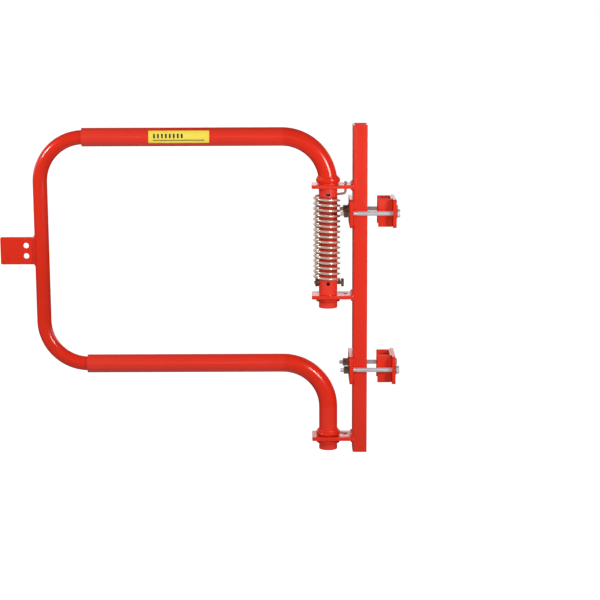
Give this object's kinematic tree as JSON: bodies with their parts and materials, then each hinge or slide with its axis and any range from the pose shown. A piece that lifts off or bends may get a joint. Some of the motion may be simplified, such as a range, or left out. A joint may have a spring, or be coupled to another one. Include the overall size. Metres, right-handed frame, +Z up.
{
  "type": "self-closing guard rail gate",
  "caption": "Self-closing tubular swing gate, adjustable in width, with a torsion spring hinge on a channel post that clamps to a round rail.",
  "frame": {"origin": "on the axis of the rail post that the part clamps to, half way between the two clamps", "axes": "+Z up along the rail post; -X from the rail post over the opening towards the strike tab; +Y from the side the gate swings to towards the stop side"},
  "size_m": [0.7207, 0.092, 0.5996],
  "materials": {
    "red_paint": "glossy red powder coat",
    "bright_zinc": "bright zinc plate",
    "yellow_zinc": "yellow chromate zinc plate, dull",
    "spring_wire": "zinc-plated spring wire",
    "black_oxide": "black oxide",
    "label_film": "printed yellow vinyl"
  },
  "bodies": {
    "post": {"hinge_post": "red_paint", "hinge_plate_upper": "red_paint", "hinge_plate_middle": "red_paint", "hinge_plate_lower": "red_paint", "torsion_spring": "spring_wire", "upper_backing_plate": "red_paint", "lower_backing_plate": "red_paint", "upper_flat_washers": "yellow_zinc", "lower_flat_washers": "yellow_zinc", "upper_lock_washers": "yellow_zinc", "lower_lock_washers": "yellow_zinc", "upper_clamp_nuts": "yellow_zinc", "lower_clamp_nuts": "yellow_zinc"},
    "gate": {"upper_arm": "red_paint", "lower_arm": "red_paint", "hinge_spindle": "red_paint", "upper_collar": "red_paint", "middle_collar": "red_paint", "lower_collar_top": "red_paint", "lower_collar_bottom": "red_paint", "collar_set_screws": "black_oxide", "spring_bolt": "yellow_zinc", "spring_washers": "yellow_zinc", "spring_nut": "yellow_zinc", "label": "label_film", "upper_lock_nut": "red_paint", "upper_lock_screw": "bright_zinc", "lower_lock_nut": "red_paint", "lower_lock_screw": "bright_zinc"},
    "slider": {"sliding_frame": "red_paint", "strike_tab": "red_paint"},
    "upper_jaw": {"upper_saddle": "red_paint", "upper_saddle_plate": "red_paint", "upper_clamp_bolts": "bright_zinc", "upper_head_washers": "yellow_zinc"},
    "lower_jaw": {"lower_saddle": "red_paint", "lower_saddle_plate": "red_paint", "lower_clamp_bolts": "bright_zinc", "lower_head_washers": "yellow_zinc"}
  },
  "joints": [
    {"name": "gate_swing", "type": "hinge", "parent": "post", "child": "gate", "pos_m": [-0.0797, 0, 0], "axis": [0, 0, 1], "range_deg": [0, 90], "stiffness_Nm_per_rad": 5, "springref_deg": -45.84, "deforming": ["torsion_spring"]},
    {"name": "width_slide", "type": "slide", "parent": "gate", "child": "slider", "axis": [-1, 0, 0], "range_m": [0, 0.25]},
    {"name": "upper_jaw_slide", "type": "slide", "parent": "post", "child": "upper_jaw", "axis": [1, 0, 0], "range_m": [0, 0.006]},
    {"name": "lower_jaw_slide", "type": "slide", "parent": "post", "child": "lower_jaw", "axis": [1, 0, 0], "range_m": [0, 0.006]}
  ]
}
